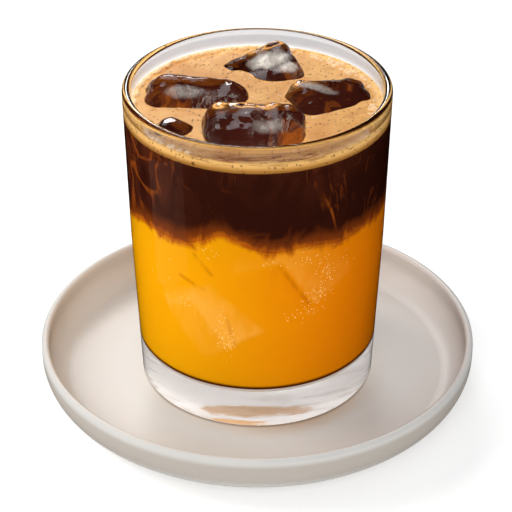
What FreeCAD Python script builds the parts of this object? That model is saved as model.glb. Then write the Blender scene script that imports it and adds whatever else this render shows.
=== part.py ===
"""Iced coffee over orange juice, in a heavy-based tumbler that stands on a small saucer.

Sizes are in millimetres and degrees. +Z is up, and the origin is the middle of the saucer's foot.
Saucer, tumbler and drink are turned about Z. The cubes of ice float at the top of the drink,
which is cut round them, and its layers lie on one another with a wavy border between the first two.
"""

import FreeCAD
import Part
import math
import os

# ---- Saucer ----------------------------------------------------------------------------------
SAUCER_RADIUS = 69.3
SAUCER_HEIGHT = 18.0  # from the table to the top of the lip
SAUCER_WALL = 2.4  # thickness at the lip
SAUCER_FLOOR = 4.0  # thickness of the flat well
FOOT_RADIUS = 44.0  # outer radius of the foot ring
FOOT_WIDTH = 4.5
FOOT_HEIGHT = 2.0
FOOT_ROUND = 0.8
OUTER_CURVE = 12.0  # radius where the outside turns up from the floor
WELL_CURVE = 7.5  # radius where the inside turns up from the well

# ---- Tumbler ---------------------------------------------------------------------------------
GLASS_HEIGHT = 100.0
RIM_RADIUS = 40.6
BASE_RADIUS = 37.0
SIDE_BULGE = 0.5  # how far the side swells past a straight taper, half way up
SIDE_CURVE = 900.0  # radius that eases the swell
GLASS_WALL = 2.6
HEEL_THICKNESS = 12.0  # solid glass under the drink
HEEL_ROUND = 1.8
FLOOR_CURVE = 5.0  # radius between the inner floor and the wall
PUNT_RADIUS = 26.0  # shallow hollow under the base
PUNT_DEPTH = 1.6

# ---- Drink -----------------------------------------------------------------------------------
BRIM_GAP = 6.0  # from the top of the foam to the rim
CREMA_DEPTH = 3.0
JUICE_DEPTH = 52.0  # mean depth of the lower layer
BORDER_POINTS = 25  # points along each side of the net that the border passes through
# Swells of the border between juice and coffee. Each: where its middle lies (x and y as shares of
# the inner radius at the border), how far it rises or falls, and how wide it spreads.
SWELLS = (
    ((-0.26, -0.97), 5.3, 5.2),
    ((-1.00, 0.00), -6.0, 9.0),
    ((0.39, -0.92), 0.9, 4.0),
    ((0.67, -0.74), -0.9, 4.0),
    ((0.55, 0.80), 3.0, 9.0),
    ((-0.40, 0.80), -2.5, 8.0),
    ((0.10, 0.05), 2.0, 10.0),
)

# ---- Ice -------------------------------------------------------------------------------------
ICE_GAP = 0.4  # least room between a cube and the tumbler's wall
ICE_RISE = 8.0  # how far above the rim a cube may stand
# Each cube: its size along its own axes, where its middle lies (x and y as shares of the inner
# radius at the top of the foam, and how far below the top of the foam), how it is turned (about
# Z, Y and X, in degrees), how much narrower its top is than its foot, and its melted edges' radius.
ICE = {
    "ice_back": ((25.0, 19.5, 15.0), (0.050, 0.602), 5.2, (-161.0, 18.5, -15.5), 0.10, 3.5),
    "ice_left": ((32.0, 17.4, 14.0), (-0.487, 0.094), 2.7, (-7.0, 4.0, 17.0), 0.12, 6.5),
    "ice_front": ((31.0, 20.0, 15.0), (-0.024, -0.472), 2.0, (-3.0, 0.0, 14.0), 0.30, 5.0),
    "ice_right": ((26.0, 17.0, 12.0), (0.587, 0.074), 3.0, (26.0, 8.0, 14.0), 0.12, 4.2),
    "ice_small": ((13.0, 11.0, 11.0), (-0.640, -0.455), 4.0, (-25.0, 10.0, 10.0), 0.0, 4.2),
}

# ---- What follows from the sizes ---------------------------------------------------------------
WELL = FOOT_HEIGHT + SAUCER_FLOOR  # the tumbler stands here
RIM = WELL + GLASS_HEIGHT
SHOULDER = WELL + GLASS_HEIGHT / 2
SHOULDER_RADIUS = (BASE_RADIUS + RIM_RADIUS) / 2 + SIDE_BULGE
FLOOR = WELL + HEEL_THICKNESS
LEVEL = RIM - BRIM_GAP
CREMA_FOOT = LEVEL - CREMA_DEPTH
BORDER = FLOOR + JUICE_DEPTH
FULL_TURN = 360.0


def outer_radius(z):
    """Radius of the tumbler's outside at height z, without the easing at its shoulder."""
    if z < SHOULDER:
        share = (z - WELL) / (SHOULDER - WELL)
        return BASE_RADIUS + share * (SHOULDER_RADIUS - BASE_RADIUS)
    share = (z - SHOULDER) / (RIM - SHOULDER)
    return SHOULDER_RADIUS + share * (RIM_RADIUS - SHOULDER_RADIUS)


def inner_radius(z):
    return outer_radius(z) - GLASS_WALL


def unit(a, b):
    return (b - a).normalize()


def rounded_wire(corners):
    """A closed wire in the XZ plane through (radius, height, rounding) corners, each rounded by an arc."""
    points = [FreeCAD.Vector(r, 0, z) for r, z, _ in corners]
    edges, starts, ends = [], [], []
    for i, (_, _, rounding) in enumerate(corners):
        here = points[i]
        back = unit(here, points[i - 1])
        on = unit(here, points[(i + 1) % len(points)])
        half = back.getAngle(on) / 2
        reach = rounding / math.tan(half) if rounding else 0.0
        starts.append(here + back * reach)
        ends.append(here + on * reach)
        if rounding:
            middle = here + (back + on).normalize() * (rounding / math.sin(half) - rounding)
            edges.append(Part.Arc(starts[i], middle, ends[i]).toShape())
    for i in range(len(corners)):
        a, b = ends[i], starts[(i + 1) % len(corners)]
        if a.distanceToPoint(b) > 1e-6:
            edges.append(Part.makeLine(a, b))
    return Part.Wire(Part.__sortEdges__(edges))


def turned(corners):
    """The solid that these corners sweep out about Z."""
    axis = (FreeCAD.Vector(0, 0, 0), FreeCAD.Vector(0, 0, 1))
    return Part.Face(rounded_wire(corners)).revolve(*axis, FULL_TURN)


def saucer():
    lip = SAUCER_WALL / 2
    inside = SAUCER_RADIUS - SAUCER_WALL
    foot_inside = FOOT_RADIUS - FOOT_WIDTH
    return turned([
        (0, FOOT_HEIGHT, 0),
        (foot_inside, FOOT_HEIGHT, FOOT_ROUND),
        (foot_inside, 0, FOOT_ROUND),
        (FOOT_RADIUS, 0, FOOT_ROUND),
        (FOOT_RADIUS, FOOT_HEIGHT, FOOT_ROUND),
        (SAUCER_RADIUS, FOOT_HEIGHT, OUTER_CURVE),
        (SAUCER_RADIUS, SAUCER_HEIGHT, lip),
        (inside, SAUCER_HEIGHT, lip),
        (inside, WELL, WELL_CURVE),
        (0, WELL, 0),
    ])


def punt():
    """The hollow under the tumbler: a cap of a sphere."""
    radius = (PUNT_RADIUS**2 + PUNT_DEPTH**2) / (2 * PUNT_DEPTH)
    return Part.makeSphere(radius, FreeCAD.Vector(0, 0, WELL + PUNT_DEPTH - radius))


def tumbler():
    lip = GLASS_WALL / 2
    wall = turned([
        (0, WELL, 0),
        (BASE_RADIUS, WELL, HEEL_ROUND),
        (SHOULDER_RADIUS, SHOULDER, SIDE_CURVE),
        (RIM_RADIUS, RIM, lip),
        (RIM_RADIUS - GLASS_WALL, RIM, lip),
        (SHOULDER_RADIUS - GLASS_WALL, SHOULDER, SIDE_CURVE - GLASS_WALL),
        (inner_radius(FLOOR), FLOOR, FLOOR_CURVE),
        (0, FLOOR, 0),
    ])
    return wall.cut(punt())


def bore(top, gap=0.0):
    """The space inside the tumbler up to the height top, kept this gap off its wall."""
    return turned([
        (0, FLOOR, 0),
        (inner_radius(FLOOR) - gap, FLOOR, FLOOR_CURVE),
        (SHOULDER_RADIUS - GLASS_WALL - gap, SHOULDER, SIDE_CURVE - GLASS_WALL),
        (inner_radius(top) - gap, top, 0),
        (0, top, 0),
    ])


def border_height(x, y):
    """Height of the border between juice and coffee, which rises and falls by its swells."""
    radius = inner_radius(BORDER)
    height = BORDER
    for (across, along), rise, spread in SWELLS:
        distance = math.hypot(x - across * radius, y - along * radius)
        height += rise * math.exp(-((distance / spread) ** 2) / 2)
    return height


def below_border():
    """A block whose top is the border and whose foot lies under the drink."""
    half = RIM_RADIUS + GLASS_WALL
    steps = [half * (2 * i / (BORDER_POINTS - 1) - 1) for i in range(BORDER_POINTS)]
    net = [[FreeCAD.Vector(x, y, border_height(x, y)) for y in steps] for x in steps]
    surface = Part.BSplineSurface()
    surface.interpolate(net)
    return surface.toShape().extrude(FreeCAD.Vector(0, 0, -2 * (BORDER - WELL)))


def rectangle(length, width, z):
    x, y = length / 2, width / 2
    corners = [(-x, -y), (x, -y), (x, y), (-x, y), (-x, -y)]
    return Part.makePolygon([FreeCAD.Vector(a, b, z) for a, b in corners])


def ice_cube(size, place, depth, turns, taper, melt):
    """One cube as it comes from a tray, narrower at one end, its edges rounded by melting."""
    length, width, height = size
    narrow = 1 - taper / 2
    wide = 1 + taper / 2
    foot = rectangle(length * wide, width * wide, -height / 2)
    top = rectangle(length * narrow, width * narrow, height / 2)
    cube = Part.makeLoft([foot, top], True, True)
    cube = cube.makeFillet(melt, cube.Edges)
    x, y = (share * inner_radius(LEVEL) for share in place)
    cube.Placement = FreeCAD.Placement(FreeCAD.Vector(x, y, LEVEL - depth), FreeCAD.Rotation(*turns))
    return cube


def floating_ice():
    """Every cube, kept off the wall, and cut where it would run into one placed before it."""
    room = bore(RIM + ICE_RISE, ICE_GAP)
    placed = {}
    for name, facts in ICE.items():
        cube = ice_cube(*facts).common(room)
        for other in placed.values():
            cube = cube.cut(other)
        placed[name] = cube
    return placed


def drink_layers(ice):
    """Juice, coffee and crema, with room for the ice."""
    juice_block = below_border()
    below_crema = bore(CREMA_FOOT)
    layers = {
        "juice": below_crema.common(juice_block),
        "coffee": below_crema.cut(juice_block),
        "crema": bore(LEVEL).cut(below_crema),
    }
    for name in layers:
        for cube in ice.values():
            layers[name] = layers[name].cut(cube)
    return layers


def build():
    ice = floating_ice()
    return {"saucer": saucer(), "tumbler": tumbler(), **drink_layers(ice), **ice}


os.makedirs("parts", exist_ok=True)
for node, shape in build().items():
    for solid in shape.Solids:
        print(f"{node:10s} {solid.Volume / 1000:8.2f} cm3  valid {solid.isValid()}")
    Part.Compound(shape.Solids).exportStep(f"parts/{node}.step")
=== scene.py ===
# %% [markdown]
# # Iced coffee over orange juice
# This lesson gives a finished look to a measured model: a heavy tumbler on a small saucer, filled
# with orange juice, coffee, a thin tan foam and ice. The measured model, called the frame, is loaded
# first and never moved. Every new piece is made around it, in metres, in the same place.

# %% Load the frame
import bmesh
import bpy
import math
import random
from mathutils import Matrix, Vector, noise
from mathutils.bvhtree import BVHTree


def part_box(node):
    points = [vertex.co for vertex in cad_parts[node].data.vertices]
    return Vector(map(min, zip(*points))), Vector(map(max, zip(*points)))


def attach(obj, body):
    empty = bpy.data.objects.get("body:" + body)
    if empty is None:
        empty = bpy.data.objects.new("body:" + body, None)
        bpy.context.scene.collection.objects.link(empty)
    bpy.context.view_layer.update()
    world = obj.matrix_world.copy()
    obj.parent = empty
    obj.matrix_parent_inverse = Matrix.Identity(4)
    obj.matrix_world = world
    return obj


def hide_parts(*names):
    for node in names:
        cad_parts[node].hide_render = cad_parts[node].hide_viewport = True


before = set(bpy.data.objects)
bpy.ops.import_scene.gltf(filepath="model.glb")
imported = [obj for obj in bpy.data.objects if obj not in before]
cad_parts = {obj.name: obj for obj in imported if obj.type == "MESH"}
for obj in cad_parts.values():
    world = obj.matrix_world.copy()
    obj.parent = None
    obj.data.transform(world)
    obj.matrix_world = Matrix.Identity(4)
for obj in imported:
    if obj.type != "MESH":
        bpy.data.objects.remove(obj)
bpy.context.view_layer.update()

MM = 0.001
FULL_TURN = 2 * math.pi
print("nodes in the frame:", sorted(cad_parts))

# %% [markdown]
# ## Sizes
# Places come from the frame's own boxes: where the tumbler stands, its rim, and the heights of the
# drink's layers. Only what no box can tell is written down here, such as the thickness of the wall.

# %% Heights and radii of the tumbler and the drink
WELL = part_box("tumbler")[0].z
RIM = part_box("tumbler")[1].z
RIM_RADIUS = 40.6 * MM
BASE_RADIUS = 37.0 * MM
SIDE_BULGE = 0.5 * MM
GLASS_WALL = 2.6 * MM
HEEL_ROUND = 1.8 * MM
FLOOR_CURVE = 5.0 * MM
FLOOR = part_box("juice")[0].z
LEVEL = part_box("crema")[1].z
CREMA_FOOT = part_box("crema")[0].z
JUICE_DEPTH = 52.0 * MM
BORDER = FLOOR + JUICE_DEPTH
SHOULDER = (WELL + RIM) / 2
SHOULDER_RADIUS = (BASE_RADIUS + RIM_RADIUS) / 2 + SIDE_BULGE
BITE = 0.3 * MM  # how far the drink reaches into the wall, so that no air shows between them
ICE_NAMES = [name for name in sorted(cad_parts) if name.startswith("ice_")]
SWELLS = (  # the border's swells: middle (shares of the inner radius), rise and spread
    ((-0.26, -0.97), 5.3 * MM, 5.2 * MM),
    ((-1.00, 0.00), -6.0 * MM, 9.0 * MM),
    ((0.39, -0.92), 0.9 * MM, 4.0 * MM),
    ((0.67, -0.74), -0.9 * MM, 4.0 * MM),
    ((0.55, 0.80), 3.0 * MM, 9.0 * MM),
    ((-0.40, 0.80), -2.5 * MM, 8.0 * MM),
    ((0.10, 0.05), 2.0 * MM, 10.0 * MM),
)


def outer_radius(z):
    """Radius of the tumbler's outside at height z: two gentle tapers that meet half way up."""
    if z < SHOULDER:
        share = (z - WELL) / (SHOULDER - WELL)
        return BASE_RADIUS + share * (SHOULDER_RADIUS - BASE_RADIUS)
    share = (z - SHOULDER) / (RIM - SHOULDER)
    return SHOULDER_RADIUS + share * (RIM_RADIUS - SHOULDER_RADIUS)


def inner_radius(z):
    return outer_radius(z) - GLASS_WALL


def border_height(x, y):
    """Height of the border between juice and coffee."""
    radius = inner_radius(BORDER)
    height = BORDER
    for (across, along), rise, spread in SWELLS:
        distance = math.hypot(x - across * radius, y - along * radius)
        height += rise * math.exp(-((distance / spread) ** 2) / 2)
    return height


print("drink from", round(FLOOR / MM, 1), "to", round(LEVEL / MM, 1), "mm")

# %% [markdown]
# ## Camera
# A long lens that looks down by about 32 degrees, so that the drink's surface shows as an oval
# inside the rim. It stands well off, so most of the glass's taper in the picture is its own.

# %% Camera
CAMERA_PLACE = Vector((-0.4, -522.87, 368.92)) * MM
CAMERA_PITCH = math.radians(31.728)  # how far it looks down
LENS_LENGTH = 137.21
bpy.ops.object.select_all(action="DESELECT")
bpy.ops.object.camera_add(location=CAMERA_PLACE, rotation=(math.pi / 2 - CAMERA_PITCH, 0, 0))
camera = bpy.context.object
camera.name = "camera"
camera.data.lens = LENS_LENGTH
camera.data.sensor_width = 36.0
camera.data.clip_start = 0.01
bpy.context.scene.camera = camera
bpy.context.scene.view_settings.view_transform = "Standard"
bpy.context.scene.cycles.use_denoising = True
print("camera at", tuple(round(v, 3) for v in camera.location))

# %% [markdown]
# ## Light
# Glass shows what is around it, so the lamps are as much a part of its look as its own material.
# The main lamp stands high on the left and throws the soft shadow to the right. Those that light
# the glass are never mirrored in it, as they would wash the colours out. Three more are only
# mirrored: a tall window behind and its bright middle, which shine on the ice and the rim, and a
# small card low on the left, which draws a pale upright band on the coffee. The sky lights all
# round and isn't mirrored either, because its blue would turn the clear glass cold.

# %% Lamps and sky
AIM = Vector((0, 0, 55 * MM))  # what the lamps point at, the middle of the drink
SKY_COLOUR = (0.96, 0.98, 1.0, 1)
SKY_STRENGTH = 0.34


def panel(name, place, size, power, mirrored=False, lights=True, colour=(1, 1, 1)):
    """A rectangular soft lamp at place, turned to face the glass."""
    bpy.ops.object.light_add(type="AREA", location=place)
    lamp = bpy.context.object
    lamp.name = name
    lamp.data.shape = "RECTANGLE"
    lamp.data.size, lamp.data.size_y = size
    lamp.data.energy = power
    lamp.data.color = colour
    lamp.rotation_euler = (AIM - Vector(place)).to_track_quat("-Z", "Y").to_euler()
    lamp.visible_glossy = mirrored
    lamp.visible_diffuse = lights
    return lamp


panel("main_lamp", (-1.10, 0.20, 0.90), (0.7, 0.7), 9.5, colour=(1, 0.985, 0.96))
panel("back_lamp", (-0.18, 1.15, 0.80), (0.55, 0.30), 5.0)
panel("window_sheen", (-0.22, 0.85, 0.95), (0.45, 0.80), 3.6, True, False, (1, 0.95, 0.98))
panel("window_glint", (-0.10, 1.10, 0.62), (0.25, 0.14), 1.6, True, False)
panel("front_lamp", (-0.05, -1.20, 0.85), (0.9, 0.9), 8.5)
panel("top_lamp", (0.10, -0.05, 1.30), (0.9, 0.9), 2.4)
card = panel("low_card", (-0.095, -0.036, 0.032), (0.060, 0.056), 0.0017, True, False, (1, 0.72, 0.6))
card.rotation_euler = (math.pi / 2, 0, -math.pi / 2)  # upright, and level with the glass

world = bpy.data.worlds.new("soft_sky")
bpy.context.scene.world = world
world.use_nodes = True
sky = world.node_tree.nodes["Background"]
sky.inputs["Color"].default_value = SKY_COLOUR
sky.inputs["Strength"].default_value = SKY_STRENGTH
world.cycles_visibility.glossy = False

# %% [markdown]
# ## A short way to write materials
# A material is a net of nodes. Wiring maths one node at a time is slow to read, so two small classes
# let it be written as Python: `Finish` adds nodes, and `Value` is one output, with + - * / on it.

# %% Value: one output of a node


class Value:
    """One output of a node, on which Python's signs add Math nodes."""

    def __init__(self, finish, socket):
        self.finish = finish
        self.socket = socket

    def maths(self, operation, *values):
        return self.finish.node("ShaderNodeMath", {"operation": operation}, dict(enumerate(values)))

    def __add__(self, other):
        return self.maths("ADD", self, other)

    __radd__ = __add__

    def __sub__(self, other):
        return self.maths("SUBTRACT", self, other)

    def __rsub__(self, other):
        return self.maths("SUBTRACT", other, self)

    def __mul__(self, other):
        return self.maths("MULTIPLY", self, other)

    __rmul__ = __mul__

    def __truediv__(self, other):
        return self.maths("DIVIDE", self, other)

    def __rtruediv__(self, other):
        return self.maths("DIVIDE", other, self)

    def __pow__(self, other):
        return self.maths("POWER", self, other)

    def __abs__(self):
        return self.maths("ABSOLUTE", self)

    def most(self, other):
        return self.maths("MAXIMUM", self, other)

    def between(self, low, high):
        """A soft step from 0 at low to 1 at high; low may be the greater of the two."""
        settings = {"interpolation_type": "SMOOTHSTEP"}
        return self.finish.node("ShaderNodeMapRange", settings, {"Value": self, 1: low, 2: high})


print("signs that add a node: + - * / ** abs")

# %% Finish: a material under construction


class Finish:
    """A material under construction."""

    def __init__(self, name):
        self.material = bpy.data.materials.new(name)
        self.material.use_nodes = True
        self.tree = self.material.node_tree
        self.tree.nodes.clear()

    def node(self, kind, settings=None, inputs=None, output=0):
        """Adds a node: its settings first, then values or links for its sockets."""
        made = self.tree.nodes.new(kind)
        for key, value in (settings or {}).items():
            setattr(made, key, value)
        for key, value in (inputs or {}).items():
            socket = made.inputs[key]
            if isinstance(value, Value):
                self.tree.links.new(value.socket, socket)
            else:
                socket.default_value = value
        return None if output is None else Value(self, made.outputs[output])

    def place(self):
        """Object coordinates, which are metres in the frame."""
        return self.node("ShaderNodeTexCoord", output=3)

    def scaled(self, vector, scale):
        """Places for a pattern that is to be stretched along an axis, where its scale is under 1."""
        return self.node("ShaderNodeMapping", None, {0: vector, "Scale": scale})

    def parts(self, vector):
        """The x, y and z of a vector."""
        return [self.node("ShaderNodeSeparateXYZ", None, {0: vector}, output=i) for i in range(3)]

    def noise(self, vector, scale, detail, roughness, distortion=0.0):
        inputs = {"Vector": vector, "Scale": scale, "Detail": detail, "Roughness": roughness}
        inputs["Distortion"] = distortion
        return self.node("ShaderNodeTexNoise", None, inputs)

    def cells(self, vector, scale, output=0):
        """Distance to the nearest of many scattered points, or, as output 1, that point's own colour."""
        return self.node("ShaderNodeTexVoronoi", None, {"Vector": vector, "Scale": scale}, output)

    def blend(self, factor, first, second):
        """A mix of two colours: all of the first at 0, all of the second at 1."""
        inputs = {0: factor, 6: first, 7: second}
        return self.node("ShaderNodeMix", {"data_type": "RGBA"}, inputs, output=2)

    def attribute(self, name):
        """A number that is stored at each point of a piece."""
        return self.node("ShaderNodeAttribute", {"attribute_name": name}, output=2)

    def bump(self, height, distance, strength):
        inputs = {"Height": height, "Distance": distance, "Strength": strength}
        return self.node("ShaderNodeBump", None, inputs)

    def surface(self, **sockets):
        """The all-round shader. Words joined by _ name its sockets."""
        inputs = {key.replace("_", " "): value for key, value in sockets.items()}
        return self.node("ShaderNodeBsdfPrincipled", None, inputs)

    def clear_to_shadow(self, shader, tint):
        """Lets lamplight pass straight through, as glass does, where the renderer asks for shadow."""
        shadow_ray = self.node("ShaderNodeLightPath", output=1)
        tinted = self.node("ShaderNodeBsdfTransparent", None, {"Color": (*tint, 1)})
        return self.node("ShaderNodeMixShader", None, {0: shadow_ray, 1: shader, 2: tinted})

    def finish(self, shader):
        self.node("ShaderNodeOutputMaterial", None, {"Surface": shader}, output=None)
        print("material", self.material.name, "has", len(self.tree.nodes), "nodes")
        return self.material


NOTHING = (0, 0, 0, 1)  # the colour of a part that doesn't glow
print("a Finish adds all other nodes")

# %% [markdown]
# ## Turning a piece on the wheel
# Saucer, tumbler and drink are all turned shapes. As by hand, one point is drawn out into an outline
# in edit mode, spun about the upright axis, its seam is merged and its faces are turned outwards.

# %% An outline with rounded corners
TURN_STEPS = 192  # faces round a turned piece
ARC_STEPS = 8  # steps in each rounded corner
SAME_PLACE = 1e-6  # metres: points nearer than this are merged


def rounded(corners):
    """Points (radius, height) along an outline, with each (radius, height, rounding) corner as an arc."""
    outline = []
    for i, (r, z, rounding) in enumerate(corners):
        here = Vector((r, z))
        if not rounding:
            outline.append(here)
            continue
        back = (Vector(corners[i - 1][:2]) - here).normalized()
        on = (Vector(corners[i + 1][:2]) - here).normalized()
        half = back.angle(on) / 2
        middle = here + (back + on).normalized() * rounding / math.sin(half)
        start = here + back * rounding / math.tan(half) - middle
        end = here + on * rounding / math.tan(half) - middle
        sweep = start.angle_signed(end)
        for step in range(ARC_STEPS + 1):
            turn = Matrix.Rotation(-sweep * step / ARC_STEPS, 2)
            outline.append(middle + turn @ start)
    return outline


print("each corner is drawn in", ARC_STEPS, "steps")

# %% Spinning it


def deselect():
    """Leaves edit mode with nothing selected, because an operator acts on all that is."""
    if bpy.context.mode != "OBJECT":
        bpy.ops.object.mode_set(mode="OBJECT")
    bpy.ops.object.select_all(action="DESELECT")


def turned(name, outline, steps=TURN_STEPS):
    """The shape that an outline sweeps out about the upright axis."""
    deselect()
    first = outline[0]
    bpy.ops.mesh.primitive_plane_add(size=MM, location=(0, 0, 0))
    piece = bpy.context.object
    piece.name = name
    bpy.ops.object.mode_set(mode="EDIT")
    bpy.ops.mesh.merge(type="CENTER")
    bpy.ops.transform.translate(value=(first.x, 0, first.y))
    for a, b in zip(outline, outline[1:]):
        step = (b.x - a.x, 0, b.y - a.y)
        bpy.ops.mesh.extrude_vertices_move(TRANSFORM_OT_translate={"value": step})
    bpy.ops.mesh.select_all(action="SELECT")
    bpy.ops.mesh.spin(steps=steps, angle=FULL_TURN, center=(0, 0, 0), axis=(0, 0, 1))
    bpy.ops.mesh.select_all(action="SELECT")
    bpy.ops.mesh.remove_doubles(threshold=SAME_PLACE)
    bpy.ops.mesh.normals_make_consistent(inside=False)
    bpy.ops.object.mode_set(mode="OBJECT")
    bpy.ops.object.shade_smooth()
    print(name, "has", len(piece.data.polygons), "faces")
    return piece


print("a turned piece has", TURN_STEPS, "faces round it")

# %% Modifiers, and fixing a piece to the frame


def apply_modifier(piece, kind, **settings):
    """Adds a modifier with these settings and applies it to the mesh."""
    deselect()
    piece.select_set(True)
    bpy.context.view_layer.objects.active = piece
    modifier = piece.modifiers.new(kind.lower(), kind)
    for key, value in settings.items():
        setattr(modifier, key, value)
    bpy.ops.object.modifier_apply(modifier=modifier.name)


def keep(piece, slot, *nodes, material=None):
    """Fixes a finished piece to the frame, in place of the nodes it stands for; slot is not used."""
    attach(piece, "root")
    if nodes:
        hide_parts(*nodes)
    if material:
        piece.data.materials.clear()
        piece.data.materials.append(material)


# %% [markdown]
# ## Tumbler
# The real glass is blown thick, with a rounded rim and a heavy heel. It is spun as one outline, out
# up the side, over the rim and down the inside. It sits a hair deep in the saucer, so that the pale
# saucer shows through the heel, as it does through a wet base.

# %% Shape of the tumbler
SEAT = 0.06 * MM
RIM_ROUNDING = 0.999  # share of half the wall; at 1 the two rounded corners would share a point


def tumbler_outline():
    lip = GLASS_WALL / 2 * RIM_ROUNDING
    side = SHOULDER_RADIUS
    return rounded([
        (0, WELL - SEAT, 0),
        (BASE_RADIUS, WELL - SEAT, HEEL_ROUND),
        (side, SHOULDER, 0),
        (RIM_RADIUS, RIM, lip),
        (RIM_RADIUS - GLASS_WALL, RIM, lip),
        (side - GLASS_WALL, SHOULDER, 0),
        (inner_radius(FLOOR), FLOOR, FLOOR_CURVE),
        (0, FLOOR, 0),
    ])


tumbler = turned("tumbler_glass", tumbler_outline())

# %% [markdown]
# Glass has no colour of its own here, only what a drink and a pale room leave on it. Between drink
# and rim it is painted grey, because there one sees the darker room through two walls. Where the
# wall is seen nearly edge on it is painted darker, a painted shade, and just above the foam at the
# front thin brown streaks are painted, a painted reflection of the ice and foam seen through the wall.

# %% Glass
CLEAR = (0.985, 0.992, 0.988, 1)
PAINTED_ROOM_GREY = (0.54, 0.525, 0.535, 1)
PAINTED_DARK_EDGE = (0.36, 0.31, 0.26, 1)
# painted reflection: brown streaks of the ice and foam seen through the front wall
PAINTED_ICE_STREAKS = (0.17, 0.065, 0.04, 1)
GLASS_SHADOW = (0.97, 0.98, 0.975)


def painted_streaks_above_foam(glass, place, along, height):
    """Painted reflection of the ice and foam: thin level streaks on the front of the glass, from the foam
    to a few millimetres over it.
    """
    streaks = glass.noise(glass.scaled(place, (0.16, 1, 2.2)), 420.0, 4.0, 0.6, 1.0)
    front = (0 - along / RIM_RADIUS).between(0.80, 0.93) * height.between(LEVEL - 1 * MM, LEVEL + 1 * MM)
    low = 1 - height.between(LEVEL + 2.5 * MM, LEVEL + 4 * MM)
    return front * low * streaks.between(0.47, 0.57) * 0.85


def glass_material():
    glass = Finish("clear_glass")
    place = glass.place()
    _, along, height = glass.parts(place)
    # painted shade: grey between the foam and the rim, for the darker room seen through two walls
    bare = height.between(LEVEL, LEVEL + 1.5 * MM) * (1 - height.between(RIM - 2.0 * MM, RIM - 1 * MM))
    glass_tint = glass.blend(bare, CLEAR, PAINTED_ROOM_GREY)
    glass_tint = glass.blend(painted_streaks_above_foam(glass, place, along, height), glass_tint, PAINTED_ICE_STREAKS)
    # painted shade: darker where the wall is seen nearly edge on
    facing = glass.node("ShaderNodeLayerWeight", None, {"Blend": 0.5}, output=1)
    edge = facing.between(0.86, 0.98) * 0.8
    shader = glass.surface(
        Base_Color=glass.blend(edge, glass_tint, PAINTED_DARK_EDGE),
        Roughness=0.0,
        IOR=1.5,
        Transmission_Weight=1.0,
    )
    return glass.finish(glass.clear_to_shadow(shader, GLASS_SHADOW))


keep(tumbler, "glass", "tumbler", material=glass_material())

# %% [markdown]
# ## Saucer
# Stoneware with a thin satin glaze: warm off-white and faintly clouded. Its shape in the frame is
# right, so it stays and only gets this material. The outer side below the lip is a little darker,
# and round the tumbler the glaze takes an amber tint from light that came through the drink.

# %% Glaze of the saucer
WARM_GLAZE = (0.645, 0.625, 0.59, 1)
PALE_GLAZE = (0.71, 0.69, 0.66, 1)
SHADED_SIDE = (0.51, 0.46, 0.405, 1)
AMBER_LIGHT = (0.52, 0.27, 0.09, 1)


def glaze_colour(stone, x, y, z, cloud, wobble):
    reach = (x * x + y * y) ** 0.5
    colour = stone.blend(cloud, WARM_GLAZE, PALE_GLAZE)
    side = reach.between(66.5 * MM, 68.6 * MM) * (1 - z.between(14.5 * MM, 16.8 * MM))
    colour = stone.blend(side, colour, SHADED_SIDE)
    spill = 1 - reach.between(BASE_RADIUS - 2 * MM, BASE_RADIUS + 5 * MM + wobble * (5 * MM))
    front = (1 - (y / BASE_RADIUS).between(-1.0, -0.2)) * (x / BASE_RADIUS).between(-0.7, 0.5)
    return stone.blend(spill * (0.12 + front * 0.5), colour, AMBER_LIGHT)


# %% [markdown]
# The heel of a tumbler gathers light from all round and shows it on the saucer beneath. A renderer
# needs very long for that, so it is painted on the saucer under the glass, and glows faintly: pale
# grey streaks, an amber pool and an orange strip under the front, and a bright and a dark ring
# where the heel's rounded edge stands. The saucer isn't mirrored in the glass, which it would stain.

# %% Light under the heel
HEEL_PALE = (0.80, 0.785, 0.775, 1)
HEEL_GREY = (0.60, 0.57, 0.55, 1)
HEEL_AMBER = (0.46, 0.25, 0.09, 1)
HEEL_ORANGE = (0.58, 0.28, 0.055, 1)
RING_BRIGHT = (0.95, 0.93, 0.90, 1)
RING_DARK = (0.22, 0.14, 0.085, 1)
RING_GLOW = (0.7, 0.7, 0.7, 1)


def patch(x, y, middle, reach, wobble, raggedness):
    """Under 1 inside an oval, whose edge a noise makes ragged. Its middle and reach are in mm."""
    across = (x - middle[0] * MM) / (reach[0] * MM)
    along = (y - middle[1] * MM) / (reach[1] * MM)
    return across ** 2 + along ** 2 + (wobble - 0.5) * raggedness


def heel_colour(stone, place, x, y, wobble):
    streak = stone.noise(stone.scaled(place, (0.35, 1, 1)), 150.0, 3.0, 0.6, 1.5)
    pool = patch(x, y, (0, -21), (14, 5.5), wobble, 2.6)
    strip = patch(x, y, (-8, -31.5), (13, 1.8), wobble, 2.0)
    beneath = stone.blend(streak.between(0.42, 0.66), HEEL_PALE, HEEL_GREY)
    beneath = stone.blend((1 - pool.between(0.5, 1.5)) * 0.75, beneath, HEEL_AMBER)
    return stone.blend((1 - strip.between(0.4, 1.5)) * 0.8, beneath, HEEL_ORANGE)


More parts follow.
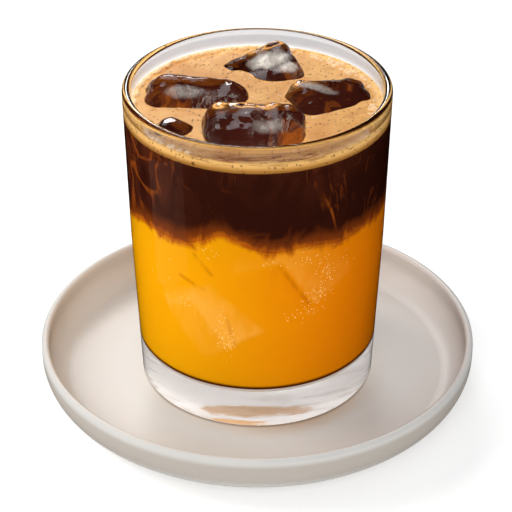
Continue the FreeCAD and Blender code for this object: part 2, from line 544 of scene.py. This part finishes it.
def saucer_material():
    stone = Finish("satin_stoneware")
    place = stone.place()
    x, y, z = stone.parts(place)
    reach = (x * x + y * y) ** 0.5
    cloud = stone.noise(place, 28.0, 4.0, 0.55)
    wobble = stone.noise(place, 120.0, 3.0, 0.6)
    under = 1 - reach.between(BASE_RADIUS - 3.5 * MM, BASE_RADIUS - 2.2 * MM)
    bright = reach.between(33.2 * MM, 33.8 * MM) * (1 - reach.between(34.2 * MM, 34.8 * MM))
    dark = reach.between(34.5 * MM, 35.1 * MM) * (1 - reach.between(36.2 * MM, 37.4 * MM))
    beneath = heel_colour(stone, place, x, y, wobble)
    colour = stone.blend(under, glaze_colour(stone, x, y, z, cloud, wobble), beneath)
    colour = stone.blend(dark * 0.7, colour, RING_DARK)
    colour = stone.blend(bright, colour, RING_BRIGHT)
    glow = stone.blend(bright, stone.blend(0.40, beneath, NOTHING), RING_GLOW)
    fine = stone.noise(place, 900.0, 3.0, 0.6)
    height = stone.noise(place, 60.0, 3.0, 0.5) * 0.7 + fine * 0.06
    shader = stone.surface(
        Base_Color=colour,
        Roughness=0.34 + cloud * 0.14,
        Specular_IOR_Level=0.4,
        Emission_Color=stone.blend(under, NOTHING, glow),
        Emission_Strength=1.0,
        Normal=stone.bump(height, 0.25 * MM, 0.5),
    )
    return stone.finish(shader)


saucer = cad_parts["saucer"]
saucer.data.materials.clear()
saucer.data.materials.append(saucer_material())
saucer.visible_glossy = False

# %% [markdown]
# ## Juice and coffee
# The two liquids are cloudy, so each is a closed shape whose skin carries the colour. Where the
# coffee sinks into the juice, the colour changes over a few millimetres, in wisps and swirls.

# %% Yellow to orange: the juice
LIT_JUICE_LEFT = (0.87, 0.42, 0.003, 1)
SHADED_JUICE_RIGHT = (0.82, 0.235, 0.002, 1)
LIT_FACET = (1.0, 0.56, 0.11, 1)
SHADED_FACET = (0.66, 0.17, 0.002, 1)
ICE_FOLD_SHADE = (0.42, 0.085, 0.002, 1)
FOOT_SHADE = (0.10, 0.016, 0.001, 1)
FOOT_SHINE = (0.92, 0.84, 0.76, 1)
FACET_SHARE = 0.42


def juice_colour(drink, side, z, fibres):
    """Painted light: yellow on the lit left to deeper orange on the right; the sunken ice in painted light
    and shade; a painted shadow line and a painted highlight at the foot.
    """
    # painted light: the lamps on the left make the cloudy juice yellower there, deeper orange on the right
    juice = drink.blend(side.between(-0.95, 1.0), LIT_JUICE_LEFT, SHADED_JUICE_RIGHT)
    ragged = fibres.between(0.35, 0.6)
    facet = drink.attribute("facet") * (0.6 + ragged * 0.4)
    juice = drink.blend(facet.between(0.0, 0.9) * FACET_SHARE, juice, LIT_FACET)
    juice = drink.blend((0 - facet).between(0.0, 0.45) * FACET_SHARE, juice, SHADED_FACET)
    # painted shade: short dark folds along the sunken ice's edges that press against the wall
    juice = drink.blend(drink.attribute("fold_shade") * ragged * 0.5, juice, ICE_FOLD_SHADE)
    # painted shadow and painted highlight: a dark line and, below it, a bright line where the juice meets
    # the glass's floor
    foot = z - FLOOR
    juice = drink.blend(1 - foot.between(2.4 * MM, 3.6 * MM), juice, FOOT_SHADE)
    return drink.blend(1 - foot.between(1.5 * MM, 2.0 * MM), juice, FOOT_SHINE)


# %% Nearly black: the coffee
COFFEE = (0.030, 0.0065, 0.0035, 1)
WARM_LIT_COFFEE = (0.105, 0.024, 0.010, 1)
JUICE_WISP = (0.40, 0.085, 0.008, 1)


def thin_lines(pattern, width):
    """1 along the lines where a noise crosses its middle value, 0 away from them."""
    return 1 - abs(pattern - 0.5).between(0.0, width)


def coffee_colour(drink, place, side, broad, swirl, fibres):
    """Dark brown, warmer on the left in painted light and in broad patches of its own tone, with wisps and
    threads of juice that rise into it.
    """
    # partly painted light, warmer on the side of the lamps on the left, and partly the coffee's own uneven
    # tone
    lit_warmth = side.between(-0.1, -1.0) * 0.6 + broad.between(0.45, 0.7) * 0.4
    coffee = drink.blend(lit_warmth * swirl.between(0.3, 0.7), COFFEE, WARM_LIT_COFFEE)
    patches = drink.noise(place, 60.0, 2.0, 0.5).between(0.50, 0.66)
    wisps = thin_lines(swirl, 0.030) * patches
    flow = drink.noise(drink.scaled(place, (1, 1, 0.45)), 40.0, 2.5, 0.5, 1.3)
    spells = drink.noise(place, 42.0, 2.0, 0.5).between(0.46, 0.62)
    threads = thin_lines(flow, 0.022) * spells * fibres.between(0.3, 0.6)
    return drink.blend((wisps * 0.32).most(threads * 0.75), coffee, JUICE_WISP)


# %% [markdown]
# Both bodies wear one material, so that no line shows where they meet. Each point stores its height
# over the border; noises push that height up and down, and it then decides the colour: juice, amber,
# russet, coffee. A small share of the colour glows, for the light that a cloudy drink passes on.

# %% The whole drink
AMBER = (0.52, 0.13, 0.006, 1)
RUSSET = (0.20, 0.042, 0.006, 1)
HOLLOW_DARK = (0.062, 0.013, 0.008, 1)
HOLLOW_LIT_AMBER = (0.36, 0.09, 0.012, 1)
GLOW_SHARE = 0.07


def drink_material():
    drink = Finish("juice_and_coffee")
    place = drink.place()
    x, _, z = drink.parts(place)
    side = x / RIM_RADIUS
    broad = drink.noise(place, 34.0, 2.0, 0.5)
    swirl = drink.noise(drink.scaled(place, (1, 1, 0.5)), 95.0, 5.0, 0.62, 1.6)
    fibres = drink.noise(drink.scaled(place, (1, 1, 0.35)), 210.0, 4.0, 0.6, 1.0)
    height = drink.attribute("over_border") + (swirl - 0.5) * (8.0 * MM) + (broad - 0.5) * (3.0 * MM)
    height = height + (fibres - 0.5) * (2.5 * MM)
    colour = drink.blend(height.between(-2.2 * MM, 0.0), juice_colour(drink, side, z, fibres), AMBER)
    colour = drink.blend(height.between(-0.6 * MM, 1.8 * MM), colour, RUSSET)
    depth = height - broad * (6.0 * MM)
    coffee = coffee_colour(drink, place, side, broad, swirl, fibres)
    colour = drink.blend(depth.between(-2.4 * MM, 3.6 * MM), colour, coffee)
    # the walls of the coffee's rooms round the ice: dark coffee, with patches of painted amber light that
    # passes through it
    room = drink.noise(place, 130.0, 3.0, 0.6, 1.2)
    hollow = drink.blend(room.between(0.50, 0.74), HOLLOW_DARK, HOLLOW_LIT_AMBER)
    colour = drink.blend(drink.attribute("under_ice") * height.between(0.0, 4 * MM), colour, hollow)
    body = drink.surface(
        Base_Color=colour,
        Roughness=0.6,
        Specular_IOR_Level=0.0,
        Emission_Color=drink.blend(1 - GLOW_SHARE, colour, NOTHING),
        Emission_Strength=1.0,
    )
    return drink.finish(body)


drink_look = drink_material()

# %% [markdown]
# ## Sunken ice
# Some cubes have sunk and lean against the wall, faint behind a skin of juice. From each point of
# the juice's side a straight line is followed inwards; where it meets one of a few tilted blocks,
# the point takes painted light and shade from the face that was met, weaker the deeper it lies.
# Short dark folds of painted shade mark the edges that press against the wall.

# %% Blocks behind the juice
SUNK_ICE = (  # wall angle in degrees, height and depth of the middle; size; turns; how pale it is
    ((-72, 57.5, 12), (17, 16, 20), (32, 0, 45), 0.0),
    ((-115, 41.5, 9), (12, 15, 19), (38, 0, 66), 0.6),
    ((70, 45, 12), (17, 16, 18), (-28, 0, 50), 0.2),
    ((165, 50, 12), (18, 16, 17), (24, 0, 38), 0.2),
)
# painted shade: dark folds along the sunken ice's edges
FOLDS = (  # short dark folds in that ice: two ends, each a wall angle and a height
    ((-80, 65.4), (-73, 57.7)),
    ((-73, 57.7), (-66, 50.5)),
    ((-119, 67.0), (-111, 61.0)),
    ((-127, 58.0), (-115, 55.2)),
    ((-104, 46.0), (-101, 37.0)),
)


def on_wall(angle, height, depth):
    """The point at a wall angle in degrees and a height, depth behind the inside of the wall (mm)."""
    radius = inner_radius(height * MM) - depth * MM
    turn = math.radians(angle)
    return Vector((radius * math.cos(turn), radius * math.sin(turn), height * MM))


def sunk_blocks():
    blocks = []
    for (angle, height, depth), size, turns, paleness in SUNK_ICE:
        turned_by = Matrix.Rotation(math.radians(angle), 3, "Z")
        for axis, turn in zip("XYZ", turns):
            turned_by = turned_by @ Matrix.Rotation(math.radians(turn), 3, axis)
        blocks.append((on_wall(angle, height, depth), Vector(size) * MM / 2, turned_by, paleness))
    return blocks


print(len(SUNK_ICE), "blocks lean against the wall")

# %% Where a line meets a block
LIT_FROM = Vector((0.1, -0.3, 0.95)).normalized()
SEEN_DEPTH = 30 * MM  # deeper faces are lost in the cloudy juice


def meet(start, way, middle, half, turned_by, paleness):
    """How far along way the block is met, and the tone of that face; None where it is missed."""
    inward = turned_by.transposed()
    place = inward @ (start - middle)
    step = inward @ way
    near, far, face = -1.0, 1.0, 0  # a metre each way, far beyond any block
    for axis in range(3):
        speed = step[axis] or 1e-9
        first, last = sorted(((-half[axis] - place[axis]) / speed, (half[axis] - place[axis]) / speed))
        if first > near:
            near, face = first, axis
        far = min(far, last)
    if near > far or near > SEEN_DEPTH:
        return None
    outward = turned_by.col[face] * (-1 if step[face] > 0 else 1)
    return max(near, 0.0), outward.dot(LIT_FROM) + paleness


MM_PER_DEGREE = 0.66  # along the wall
FOLD_REACH = 0.9  # mm


def fold_strength(angle, height):
    """1 on a fold, falling to 0 within a millimetre of it."""
    strongest = 0.0
    for (angle_a, height_a), (angle_b, height_b) in FOLDS:
        a = Vector(((angle_a - angle) * MM_PER_DEGREE, height_a - height))
        along = Vector(((angle_b - angle) * MM_PER_DEGREE, height_b - height)) - a
        share = min(1.0, max(0.0, -a.dot(along) / along.length_squared))
        strongest = max(strongest, 1 - (a + along * share).length / FOLD_REACH)
    return strongest


print("tone of a level face:", round(LIT_FROM.z, 2))

# %% Numbers stored at the points


def write(piece, name, values):
    """Stores one number for each point of a piece, for its material to read."""
    layer = piece.data.attributes.get(name) or piece.data.attributes.new(name, "FLOAT", "POINT")
    layer.data.foreach_set("value", values)


SOFTENING_ROUNDS = 2


def softened(piece, values):
    """Values averaged with their neighbours along the edges, so that no hard border is left."""
    for _ in range(SOFTENING_ROUNDS):
        sums = list(values)
        counts = [1] * len(values)
        for edge in piece.data.edges:
            a, b = edge.vertices
            sums[a] += values[b]
            sums[b] += values[a]
            counts[a] += 1
            counts[b] += 1
        values = [total / count for total, count in zip(sums, counts)]
    return values


def show_sunk_ice(piece):
    """Writes the painted light and shade of the sunken ice and the strength of its painted dark folds at
    each point of the side.
    """
    blocks = sunk_blocks()
    tones = []
    folds = []
    for point in piece.data.vertices:
        place = point.co
        tone = 0.0
        reach = math.hypot(place.x, place.y)
        angle = math.degrees(math.atan2(place.y, place.x))
        folds.append(0.0)
        if reach > 0.9 * inner_radius(place.z) and place.z < BORDER + 6 * MM:
            inwards = Vector((-place.x / reach, -place.y / reach, -0.25)).normalized()
            for block in blocks:
                met = meet(place, inwards, *block)
                if met:
                    tone = (met[1] * 1.2 - 0.12) * math.exp(-met[0] / (10 * MM))
            folds[-1] = fold_strength(angle, place.z / MM)
        tones.append(tone)
    write(piece, "facet", softened(piece, tones))
    write(piece, "fold_shade", folds)
    print(piece.name, "shows sunken ice at", sum(1 for t in tones if abs(t) > 0.1), "points")


# %% [markdown]
# ## Shapes of the two liquids
# Both are turned like the glass, a hair larger than its inside so that no air shows between. The
# lid of the juice and the foot of the coffee start flat and are then moved onto the same wavy border.
# The juice throws no colour on what is round it, because that would turn the saucer orange.

# %% Height over the border
INNER_GAP = 0.6 * MM  # a point further from the wall than this is inside the drink


def drink_radius(z):
    return inner_radius(z) + BITE


def depth_inside(point):
    """How far a point lies from the wall, towards the middle."""
    return drink_radius(point.z) - math.hypot(point.x, point.y)


def over_border(piece):
    """Writes each point's height over the border, and whether it lies in the coffee's inner hollows."""
    points = piece.data.vertices
    write(piece, "over_border", [p.co.z - border_height(p.co.x, p.co.y) for p in points])
    inside = [depth_inside(p.co) > INNER_GAP and p.co.z > BORDER for p in points]
    write(piece, "under_ice", [float(value) for value in inside])


print("the border lies near", round(BORDER / MM, 1), "mm")

# %% Outlines of juice and coffee
RINGS = 24  # rings of faces between the middle and the wall
WALL_STEPS = 76  # steps up the wall, fine enough to carry the sunken ice
JUICE_STEPS = 320  # steps round it, for the same reason


def climb(start, end, steps):
    """Heights from start to end, without the start itself."""
    return [start + (end - start) * i / steps for i in range(1, steps + 1)]


def juice_outline():
    turn_up = FLOOR + 8 * MM
    corner = rounded([
        (0, FLOOR - BITE, 0),
        (drink_radius(FLOOR), FLOOR - BITE, FLOOR_CURVE),
        (drink_radius(turn_up), turn_up, 0),
    ])
    wall = [Vector((drink_radius(z), z)) for z in climb(corner[-1].y, BORDER, WALL_STEPS)]
    lid = [Vector((drink_radius(BORDER) * (1 - i / RINGS), BORDER)) for i in range(1, RINGS + 1)]
    return corner + wall + lid


def coffee_outline():
    foot = [Vector((drink_radius(BORDER) * i / RINGS, BORDER)) for i in range(RINGS + 1)]
    wall = [Vector((drink_radius(z), z)) for z in climb(BORDER, CREMA_FOOT, WALL_STEPS // 2)]
    return foot + wall + [Vector((0, CREMA_FOOT))]


def follow_border(piece, still):
    """Moves the flat lid or foot onto the wavy border, easing off towards the height that stays still."""
    for point in piece.data.vertices:
        share = max(0.0, 1 - abs(point.co.z - BORDER) / abs(still - BORDER))
        point.co.z += share * (border_height(point.co.x, point.co.y) - BORDER)


# %% Juice and coffee
juice = turned("juice_body", juice_outline(), JUICE_STEPS)
follow_border(juice, FLOOR)
over_border(juice)
show_sunk_ice(juice)
juice.visible_diffuse = False
keep(juice, "juice", "juice", material=drink_look)
coffee = turned("coffee_body", coffee_outline())
follow_border(coffee, CREMA_FOOT)

# %% [markdown]
# ## Ice
# The cubes have lost their sharp corners and their faces have melted unevenly. Each starts from its
# own measured shape, is rebuilt as an even net of small faces, and is moved in and out by a soft
# noise: the sides swell by up to two thirds of a millimetre, except near another cube, and no cube
# grows taller. Clear ice and cloudy white are two shaders, mixed where frost and cracks show.

# %% Clear and cloudy ice
CLEAR_ICE = (0.97, 0.965, 0.96, 1)
CLOUDY_ICE = (0.88, 0.81, 0.72, 1)
ICE_SHADOW = (0.92, 0.90, 0.88)


def ice_material():
    ice = Finish("melting_ice")
    place = ice.place()
    height = ice.noise(place, 220.0, 3.0, 0.55)
    clear = ice.surface(
        Base_Color=CLEAR_ICE,
        Roughness=0.02,
        IOR=1.31,
        Transmission_Weight=1.0,
        Normal=ice.bump(height, 0.35 * MM, 0.6),
    )
    streak = ice.noise(ice.scaled(place, (1, 0.4, 0.7)), 300.0, 5.0, 0.65, 1.5)
    lines = thin_lines(streak, 0.02) * ice.noise(place, 75.0, 2.0, 0.5).between(0.52, 0.66)
    cloudy = ice.attribute("frost") * (0.5 + streak.between(0.3, 0.6) * 0.5)
    white = ice.surface(
        Base_Color=CLOUDY_ICE,
        Roughness=0.35,
        Normal=ice.bump(streak, 0.6 * MM, 0.8),
    )
    frosted = ice.node("ShaderNodeMixShader", None, {0: cloudy.most(lines * 0.45), 1: clear, 2: white})
    return ice.finish(ice.clear_to_shadow(frosted, ICE_SHADOW))


ice_look = ice_material()

# %% Copies of the measured cubes


def copy_of(piece, name):
    """A separate object with its own copy of the piece's mesh."""
    copied = piece.copy()
    copied.data = piece.data.copy()
    copied.parent = None
    copied.hide_render = False
    copied.hide_viewport = False
    for key in [k for k in copied.keys() if k.startswith("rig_")]:
        del copied[key]
    copied.name = name
    bpy.context.scene.collection.objects.link(copied)
    return copied


def surface_tree(piece):
    """The piece's faces in a form that finds the nearest point quickly."""
    corners = [point.co for point in piece.data.vertices]
    return BVHTree.FromPolygons(corners, [tuple(face.vertices) for face in piece.data.polygons])


ICE_TREES = {name: surface_tree(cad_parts[name]) for name in ICE_NAMES}
ICE_GAP = 1.3 * MM  # nearer to another cube than this, a cube doesn't swell


def near_other_ice(place, node):
    return any(ICE_TREES[name].find_nearest(place, ICE_GAP)[0] for name in ICE_NAMES if name != node)


print("cubes:", ICE_NAMES)

# %% Melting a cube
ICE_NET = 0.6 * MM  # size of its small faces
WEAR = 1.2 * MM
LEAST_WEAR = 0.1 * MM
WALL_GAP = 0.35 * MM


def netted_copy(node):
    """A copy of a cube with its loose triangles merged and rebuilt as an even net."""
    cube = copy_of(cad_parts[node], node + "_melted")
    deselect()
    cube.select_set(True)
    bpy.context.view_layer.objects.active = cube
    bpy.ops.object.mode_set(mode="EDIT")
    bpy.ops.mesh.select_all(action="SELECT")
    bpy.ops.mesh.remove_doubles(threshold=SAME_PLACE)
    bpy.ops.mesh.customdata_custom_splitnormals_clear()
    bpy.ops.object.mode_set(mode="OBJECT")
    apply_modifier(cube, "REMESH", mode="VOXEL", voxel_size=ICE_NET)
    bpy.ops.object.shade_smooth()
    return cube


def worn_copy(node, number):
    """A melted copy of a cube. Its number shifts the noise, so that no two wear alike."""
    cube = netted_copy(node)
    shift = Vector((number * 3.1, number * 1.7, number * 2.3))
    outward = [point.normal.copy() for point in cube.data.vertices]
    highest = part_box(node)[1].z
    for point, normal in zip(cube.data.vertices, outward):
        coarse = noise.noise(point.co / (9 * MM) + shift)
        small = noise.noise(point.co / (3.5 * MM) + shift)
        on_top = max(0.0, normal.z)
        loss = WEAR * max(-0.55, -0.30 + 0.38 * on_top + 0.6 * coarse + 0.4 * small)
        if loss < 0 and near_other_ice(point.co, node):
            loss = LEAST_WEAR
        point.co -= normal * loss
        point.co.z = min(point.co.z, highest)
        reach = math.hypot(point.co.x, point.co.y)
        room = inner_radius(point.co.z) - WALL_GAP
        if reach > room:
            point.co.x *= room / reach
            point.co.y *= room / reach
    cube.data.update()
    return cube


print("melting moves a face by little more than", round(WEAR / MM, 1), "mm at most")

# %% Cloudy places
FROST = {  # cloudy places in a cube: place in its box (shares), reach in mm, strength
    "ice_back": (((0.50, 0.45, 1.0), (8.0, 4.0, 5.0), 1.0), ((0.72, 0.30, 0.95), (4.0, 2.5, 4.0), 0.7)),
    "ice_left": (((0.40, 0.30, 0.95), (6.0, 2.5, 3.0), 0.30),),
    "ice_front": (((0.62, 0.20, 0.95), (4.5, 3.0, 3.0), 0.28),),
    "ice_right": (((0.45, 0.45, 1.0), (8.0, 2.0, 3.0), 0.50),),
}


def frost_over(piece, node):
    """Writes how cloudy each point is."""
    low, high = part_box(node)
    values = []
    for point in piece.data.vertices:
        cloudy = 0.0
        for share, reach, strength in FROST.get(node, ()):
            away = 0.0
            for axis in range(3):
                middle = low[axis] + share[axis] * (high[axis] - low[axis])
                away += ((point.co[axis] - middle) / (reach[axis] * MM)) ** 2
            ragged = 0.35 * noise.noise(point.co / (2.2 * MM))
            cloudy = max(cloudy, strength * min(1.0, max(0.0, 1.5 - away + ragged)))
        values.append(cloudy)
    write(piece, "frost", values)


# %% The five cubes
ice_cubes = {}
for number, node in enumerate(ICE_NAMES):
    ice_cubes[node] = worn_copy(node, number)
    frost_over(ice_cubes[node], node)
    keep(ice_cubes[node], "ice", node, material=ice_look)
    print(node, "has", len(ice_cubes[node].data.polygons), "faces")

# %% [markdown]
# ## Crema
# A thin layer of fine foam. Its skin climbs by half a millimetre where it meets the glass.

# %% Shape of the foam
SKIN_CLIMB = 0.5 * MM
CLIMB_WIDTH = 2.2 * MM
SKIN_RINGS = 90


def crema_outline():
    heights = (CREMA_FOOT, LEVEL - 1 * MM, LEVEL + SKIN_CLIMB)
    side = [Vector((drink_radius(z), z)) for z in heights]
    top = []
    for i in range(1, SKIN_RINGS + 1):
        r = drink_radius(LEVEL) * (1 - i / SKIN_RINGS)
        inwards = drink_radius(LEVEL) - r
        top.append(Vector((r, LEVEL + SKIN_CLIMB * max(0.0, 1 - inwards / CLIMB_WIDTH) ** 2)))
    return [Vector((0, CREMA_FOOT))] + side + top


crema = turned("crema_foam", crema_outline())

# %% [markdown]
# Foam is a crowd of bubbles, most too small to see. A fine grain and a bump stand for those, and
# three sizes of open pore are dark dots, each size with its own chance of being there. The walls of
# the rooms that the ice stands in turn dark brown below the skin.

# %% Colour of the foam
FOAM_BROWN = (0.60, 0.255, 0.050, 1)
FOAM_TAN = (0.76, 0.40, 0.115, 1)
FOAM_GRAIN = (0.50, 0.20, 0.045, 1)
FOAM_AT_WALL = (0.93, 0.56, 0.18, 1)
SIDE_FOOT = (0.68, 0.30, 0.055, 1)
SIDE_TOP = (0.86, 0.51, 0.17, 1)
PORE = (0.17, 0.055, 0.012, 1)
ROOM_WALL_DARK = (0.16, 0.035, 0.008, 1)
ROOM_WALL_WARM = (0.30, 0.085, 0.012, 1)
PORE_SIZES = ((420.0, 0.20, 0.72), (800.0, 0.27, 0.40), (230.0, 0.16, 0.78))  # scale, size, rarity


def skin_and_side(foam, place, cloud):
    """Tan on top, paler against the wall and on the side that shows through the glass."""
    x, y, z = foam.parts(place)
    reach = (x * x + y * y) ** 0.5
    wall = inner_radius(LEVEL)
    grain = foam.noise(place, 380.0, 3.0, 0.65, 0.5)
    top = foam.blend(cloud.between(0.3, 0.7), FOAM_BROWN, FOAM_TAN)
    top = foam.blend(grain.between(0.52, 0.70) * 0.5, top, FOAM_GRAIN)
    at_wall = reach.between(wall - 3.5 * MM, wall) * cloud.between(0.35, 0.6) * 0.7
    top = foam.blend(at_wall, top, FOAM_AT_WALL)
    side = foam.blend((z - CREMA_FOOT).between(0.0, 3 * MM), SIDE_FOOT, SIDE_TOP)
    return foam.blend(reach.between(wall - 0.2 * MM, wall), top, side)


def open_pores(foam, place):
    holes = []
    for scale, size, rarity in PORE_SIZES:
        pores = foam.cells(place, scale)
        chance = foam.cells(place, scale, output=1)
        pick = foam.node("ShaderNodeSeparateColor", None, {0: chance})
        holes.append((1 - pores.between(size * 0.6, size)) * pick.between(rarity, rarity + 0.02))
    return holes[0].most(holes[1]).most(holes[2])


def crema_material():
    foam = Finish("tan_foam")
    place = foam.place()
    cloud = foam.noise(place, 70.0, 4.0, 0.6, 0.6)
    froth = foam.cells(place, 1500.0)
    hole = open_pores(foam, place)
    colour = foam.blend(hole * 0.85, skin_and_side(foam, place, cloud), PORE)
    height = froth * 0.3 + cloud * 0.5 - hole
    room_wall = foam.blend(foam.noise(place, 160.0, 3.0, 0.6), ROOM_WALL_DARK, ROOM_WALL_WARM)
    # the walls of the rooms round the ice turn dark brown below the skin
    colour = foam.blend(foam.attribute("cut").between(0.08, 0.5), colour, room_wall)
    shader = foam.surface(
        Base_Color=colour,
        Roughness=0.42,
        Specular_IOR_Level=0.15,
        Normal=foam.bump(height, 0.3 * MM, 0.6),
    )
    return foam.finish(shader)


foam_look = crema_material()

# %% [markdown]
# The cubes stand in foam and coffee, so both get rooms for them, cut with slightly shrunken copies
# of the melted cubes. The coffee's stored heights are then written anew, because a cut adds points.

# %% Rooms for the ice
TOOL_SHARE = 0.975


def carve(piece, tools):
    """Cuts room for the ice, a little inside the cubes so that no air shows between."""
    for tool_source in tools:
        tool = copy_of(tool_source, "tool")
        middle = sum((Vector(c) for c in tool.bound_box), Vector()) / 8
        for point in tool.data.vertices:
            point.co = middle + (point.co - middle) * TOOL_SHARE
        apply_modifier(piece, "BOOLEAN", operation="DIFFERENCE", object=tool, solver="EXACT")
        bpy.data.objects.remove(tool)
    body = bmesh.new()
    body.from_mesh(piece.data)
    print(piece.name, "after carving holds", round(body.calc_volume() / MM**3 / 1000, 1), "cm3")
    body.free()


carve(crema, ice_cubes.values())
carve(coffee, ice_cubes.values())
over_border(coffee)
thickness = LEVEL - CREMA_FOOT
cuts = []  # how far below the skin each inner point lies, as a share of the foam's thickness
for point in crema.data.vertices:
    below = max(0.0, (LEVEL - point.co.z) / thickness)
    cuts.append(below if depth_inside(point.co) > INNER_GAP else 0.0)
write(crema, "cut", cuts)
write(coffee, "facet", [0.0] * len(coffee.data.vertices))
write(coffee, "fold_shade", [0.0] * len(coffee.data.vertices))
keep(crema, "crema", "crema", material=foam_look)
keep(coffee, "coffee", "coffee", material=drink_look)

# %% [markdown]
# ## Bubbles
# Air clings to the ice below the surface as bright specks, and the foam carries larger bubbles,
# most of them against the wall and round the ice. One small ball is modelled and copied, with a
# fixed seed for the places, and the copies are joined into one piece for each kind. Both kinds glow
# a little, in place of the light that real bubbles catch, and the specks throw no shadow.

# %% One ball and its copies
random.seed(11)


def ball(round_faces, rings):
    """A ball of radius 1 at the origin, with few faces because it is copied hundreds of times."""
    deselect()
    bpy.ops.mesh.primitive_uv_sphere_add(segments=round_faces, ring_count=rings, radius=1.0)
    bpy.ops.object.shade_smooth()
    return bpy.context.object


def bubbles(name, spots, round_faces, rings):
    """Copies of one ball at many places, joined into one piece."""
    first = ball(round_faces, rings)
    copies = []
    for place, radius in spots:
        copied = first.copy()
        copied.data = first.data.copy()
        copied.data.transform(Matrix.Translation(place) @ Matrix.Scale(radius, 4))
        bpy.context.scene.collection.objects.link(copied)
        copies.append(copied)
    bpy.data.objects.remove(first)
    deselect()
    for copied in copies:
        copied.select_set(True)
    bpy.context.view_layer.objects.active = copies[0]
    bpy.ops.object.join()
    joined = bpy.context.object
    joined.name = name
    print(name, "has", len(spots), "bubbles")
    return joined


# %% Specks in the juice
SPECK_OUTWARD = 0.3  # mm, which puts their middles on the juice's skin
SPECKS = (  # wall angle, height, spreads and number of specks in each cluster
    (-66, 66.0, 5.0, 1.6, 34),
    (-58, 60.0, 3.5, 3.0, 60),
    (-62, 52.5, 4.0, 2.4, 70),
    (-70, 47.0, 5.0, 1.2, 36),
    (-84, 66.5, 2.5, 1.0, 10),
    (-46, 62.0, 2.5, 2.0, 16),
    (-107, 43.0, 1.6, 4.5, 44),
    (-103, 37.0, 1.8, 2.5, 44),
    (-126, 48.0, 1.6, 1.4, 14),
    (-112, 68.5, 2.5, 1.2, 14),
    (-140, 55.0, 8.0, 8.0, 14),
    (75, 50.0, 12.0, 8.0, 60),
    (165, 48.0, 12.0, 8.0, 60),
)


def speck_spots():
    spots = []
    for angle, height, angle_spread, height_spread, count in SPECKS:
        for _ in range(count):
            radius = random.uniform(0.05, 0.16)
            spot_angle = random.gauss(angle, angle_spread)
            spot_height = random.gauss(height, height_spread)
            place = on_wall(spot_angle, spot_height, -SPECK_OUTWARD)
            spots.append((place, radius * MM))
    return spots


def speck_material():
    speck = Finish("air_specks")
    shader = speck.surface(
        Base_Color=(1.0, 0.80, 0.34, 1),
        Roughness=0.25,
        Emission_Color=(1.0, 0.76, 0.24, 1),
        Emission_Strength=0.28,
    )
    return speck.finish(shader)


specks = bubbles("juice_specks", speck_spots(), 6, 4)
specks.visible_shadow = False
keep(specks, "juice", material=speck_material())

# %% Bubbles in the foam
WALL_BUBBLES = 170
LARGE_BUBBLES = 46
TRIES_BY_ICE = 600


def bubble_material():
    skin = Finish("bubble_skin")
    rim = skin.node("ShaderNodeLayerWeight", None, {"Blend": 0.35}, output=1)
    film = skin.surface(
        Base_Color=(1.0, 0.84, 0.58, 1),
        Roughness=0.08,
        Alpha=0.34 + rim.between(0.3, 0.9) * 0.6,
        Emission_Color=(0.9, 0.62, 0.34, 1),
        Emission_Strength=0.22,
    )
    return skin.finish(film)


def clear_of_ice(place, gap):
    """Whether a place is outside every cube, and further than gap from them all."""
    for node in ICE_NAMES:
        found, nearest, normal, _ = ice_cubes[node].closest_point_on_mesh(place)
        if found and ((place - nearest).dot(normal) < 0 or (place - nearest).length < gap):
            return False
    return True


def foam_spots():
    spots = []
    inside = inner_radius(LEVEL)
    for _ in range(WALL_BUBBLES):
        angle = math.radians(random.uniform(70, 240))
        radius = random.uniform(0.4, 0.85) * MM
        reach = inside - radius * random.uniform(0.7, 1.6)
        spots.append((Vector((reach * math.cos(angle), reach * math.sin(angle), LEVEL + 0.3 * MM)), radius))
    for _ in range(LARGE_BUBBLES):
        angle = math.radians(random.uniform(-20, 75))
        radius = random.uniform(0.5, 1.15) * MM
        reach = inside - random.uniform(0.8, 4.2) * MM
        spots.append((Vector((reach * math.cos(angle), reach * math.sin(angle), LEVEL)), radius))
    for _ in range(TRIES_BY_ICE):
        angle = random.uniform(0, FULL_TURN)
        reach = inside * math.sqrt(random.random()) * 0.97
        place = Vector((reach * math.cos(angle), reach * math.sin(angle), LEVEL))
        if clear_of_ice(place, 0.2 * MM) and not clear_of_ice(place, 1.6 * MM):
            spots.append((place, random.uniform(0.18, 0.5) * MM))
    return spots


foam_bubbles = bubbles("crema_bubbles", foam_spots(), 9, 5)
keep(foam_bubbles, "crema", material=bubble_material())

# %% [markdown]
# ## Floor
# A plain pale surface to stand on. It isn't part of the object. It glows a little, so that it stays
# white right up to the saucer's shadow, and it isn't mirrored in the glass.

# %% Floor
deselect()
bpy.ops.mesh.primitive_plane_add(size=8.0, location=(0, 0, 0))
floor = bpy.context.object
floor.name = "floor"
white = Finish("pale_floor")
shade = white.surface(
    Base_Color=(0.9, 0.9, 0.9, 1),
    Roughness=0.8,
    Emission_Color=(1, 1, 1, 1),
    Emission_Strength=0.30,
)
floor.data.materials.append(white.finish(shade))
floor.visible_glossy = False
